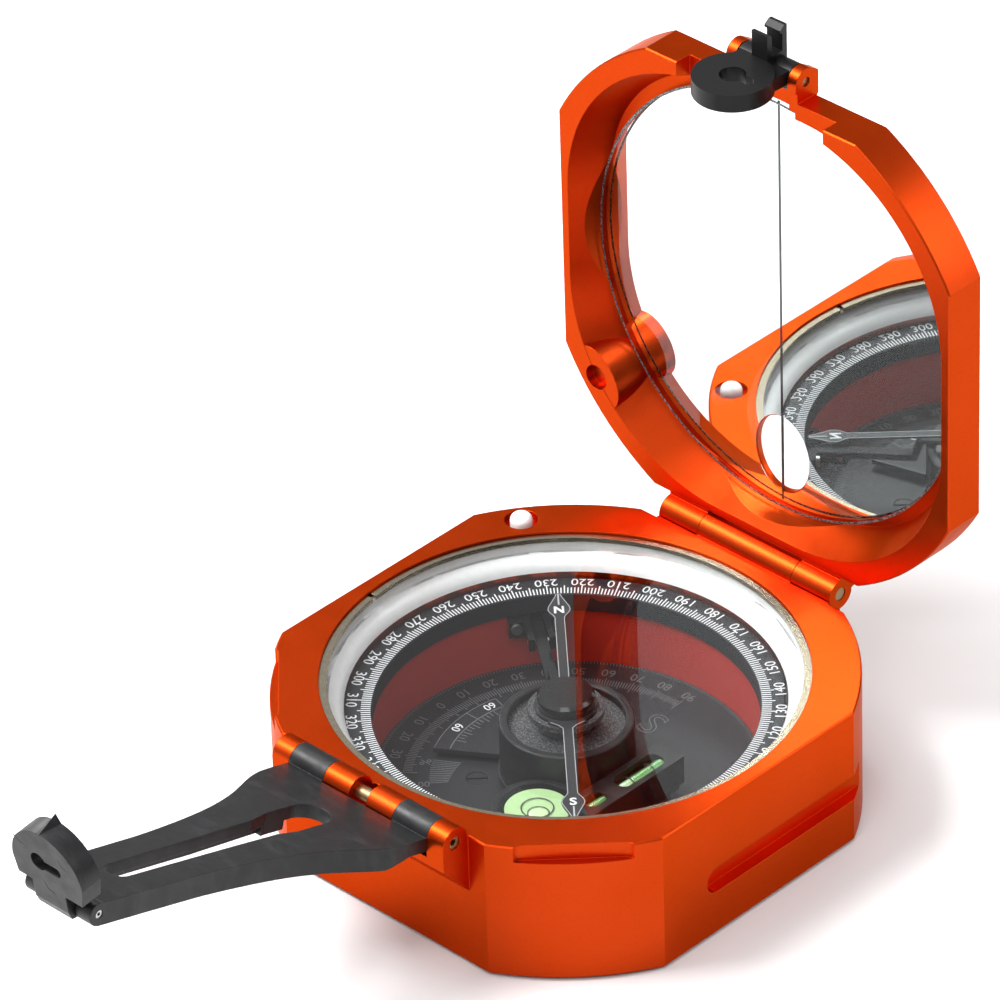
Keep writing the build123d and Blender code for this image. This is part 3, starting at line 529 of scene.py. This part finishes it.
# two lines round the upper half of the tube
TUBE_R, TUBE_Z, LINE_WIDTH, LINE_STEPS = 1.815 * MM, 8.0 * MM, 0.22 * MM, 24
for k, y in enumerate((-0.6, 3.4)):
    bm = bmesh.new()
    rings = []
    for edge in (y * MM, y * MM + LINE_WIDTH):
        angles = [math.pi * n / LINE_STEPS for n in range(LINE_STEPS + 1)]
        rings.append([bm.verts.new((c.x + TUBE_R * math.cos(a), edge, TUBE_Z + TUBE_R * math.sin(a)))
                      for a in angles])
    first, ring = rings
    for n in range(LINE_STEPS):
        bm.faces.new((first[n], first[n + 1], ring[n + 1], ring[n]))
    mesh = bpy.data.meshes.new("tube_ring")
    bm.to_mesh(mesh)
    bm.free()
    mesh.materials.append(dark_ink_and_shade)
    ob = bpy.data.objects.new(f"tube_level_line_{k + 1}", mesh)
    scene.collection.objects.link(ob)
    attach(ob, "clinometer")

# painted shade and reflection: a dark speckled ring over the chamfered edge of the mirror glass, seen from the
# front, in place of how that chamfer catches the light at the mirror's edge
mirror_rim_shade_look, nt, sh = new_material("mirror_rim_shade")
speck = ramp(nt, noise(nt, 3600, 3), 0.40, 0.62, 0, 1)
colour = mix_colour(nt, speck, (0.030, 0.028, 0.027), (0.26, 0.26, 0.26))
nt.links.new(colour, sh.inputs["Base Color"])
sh.inputs["Metallic"].default_value = 0.6
sh.inputs["Roughness"].default_value = 0.35
lo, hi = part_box("mirror_glass")
middle = (lo + hi) / 2
upright = Matrix(((1, 0, 0), (0, 0, -1), (0, 1, 0))).to_4x4()
marks = Marks(Matrix.Translation((middle.x, lo.y - 0.01 * MM, middle.z)) @ upright)
marks.arc((0, 0), (hi.x - lo.x) / 2 / MM - 0.19, 0, 360, 0.36, 160)
marks.make("mirror_rim_shade_ring", "lid", mirror_rim_shade_look)

# crescent marks on the outer face of the tip leaf
pin = Vector(joint["arm_tip_fold"]["pos_m"])
LEAF_LEAN = 7.35  # degrees the leaf leans from upright at rest
LEAF_FACE = 2.515 * MM  # from the leaf's pin out to its outer face
lean = math.radians(LEAF_LEAN)
out = Vector((0, -math.cos(lean), -math.sin(lean)))
rise = Vector((0, -math.sin(lean), math.cos(lean)))
leaf = Matrix((Vector((1, 0, 0)), rise, out)).transposed().to_4x4()
marks = Marks(Matrix.Translation(pin + out * LEAF_FACE) @ leaf)
marks.arc((-3.4, 10.6), 1.9, 205, 275, 0.26, 12)
marks.arc((4.6, 9.9), 1.8, 190, 262, 0.26, 12)
marks.arc((1.0, 4.5), 1.9, 190, 268, 0.26, 12)
marks.make("tip_leaf_marks", "tip_sight", dark_ink_and_shade)

# ---------------------------------------------------------------------------
# floor and light
# ---------------------------------------------------------------------------
bm = bmesh.new()
bmesh.ops.create_grid(bm, x_segments=2, y_segments=2, size=3.0)
floor_mesh = bpy.data.meshes.new("floor")
bm.to_mesh(floor_mesh)
bm.free()
floor = bpy.data.objects.new("floor", floor_mesh)
floor.location = (0, 0, cad_box[0][2] - 0.0002)
scene.collection.objects.link(floor)
floor_mat, nt, sh = new_material("floor_paper")
sh.inputs["Base Color"].default_value = (0.76, 0.76, 0.76, 1)
sh.inputs["Roughness"].default_value = 0.9
floor_mesh.materials.append(floor_mat)

world = bpy.data.worlds.new("studio")
world.use_nodes = True
scene.world = world
wn = world.node_tree
sky = wn.nodes["Background"]
# brighter overhead and in front, darker behind and to the right, so the metal keeps its shape
direction = wn.nodes.new("ShaderNodeSeparateXYZ")
wn.links.new(wn.nodes.new("ShaderNodeTexCoord").outputs["Generated"], direction.inputs[0])
# axis of the direction, the two values between which it shades, and the strength at each
SHADES = (
    ("Z", -0.05, 0.65, 0.35, 1.0),
    ("Y", -0.2, 0.7, 1.15, 0.60),
    ("X", 0.1, 0.8, 1.0, 0.45),
)
strength = 1.0
for axis, low, high, a, b in SHADES:
    shade = wn.nodes.new("ShaderNodeMapRange")
    shade.interpolation_type = "SMOOTHSTEP"
    shade.inputs["From Min"].default_value = low
    shade.inputs["From Max"].default_value = high
    shade.inputs["To Min"].default_value = a
    shade.inputs["To Max"].default_value = b
    wn.links.new(direction.outputs[axis], shade.inputs["Value"])
    strength = calc(wn, "MULTIPLY", strength, shade.outputs["Result"])
sky.inputs["Color"].default_value = (1, 1, 1, 1)
wn.links.new(strength, sky.inputs["Strength"])


def area_light(name, at, look, size, power):
    data = bpy.data.lights.new(name, "AREA")
    data.energy = power
    data.size = size
    ob = bpy.data.objects.new(name, data)
    ob.location = at
    ob.rotation_mode = "QUATERNION"
    ob.rotation_quaternion = (Vector(look) - Vector(at)).to_track_quat("-Z", "Y")
    scene.collection.objects.link(ob)
    return ob


area_light("key", (-0.40, -0.35, 0.80), (0, 0, 0.02), 0.40, 12.0)
area_light("fill", (0.38, -0.50, 0.85), (0, 0, 0.03), 0.45, 2.6)
area_light("rim", (0.66, 0.66, 0.50), (0, 0, 0.05), 0.50, 3.2)
area_light("side", (-0.85, 0.22, 0.50), (0, 0, 0.02), 0.45, 4.5)

scene.view_settings.view_transform = "Standard"
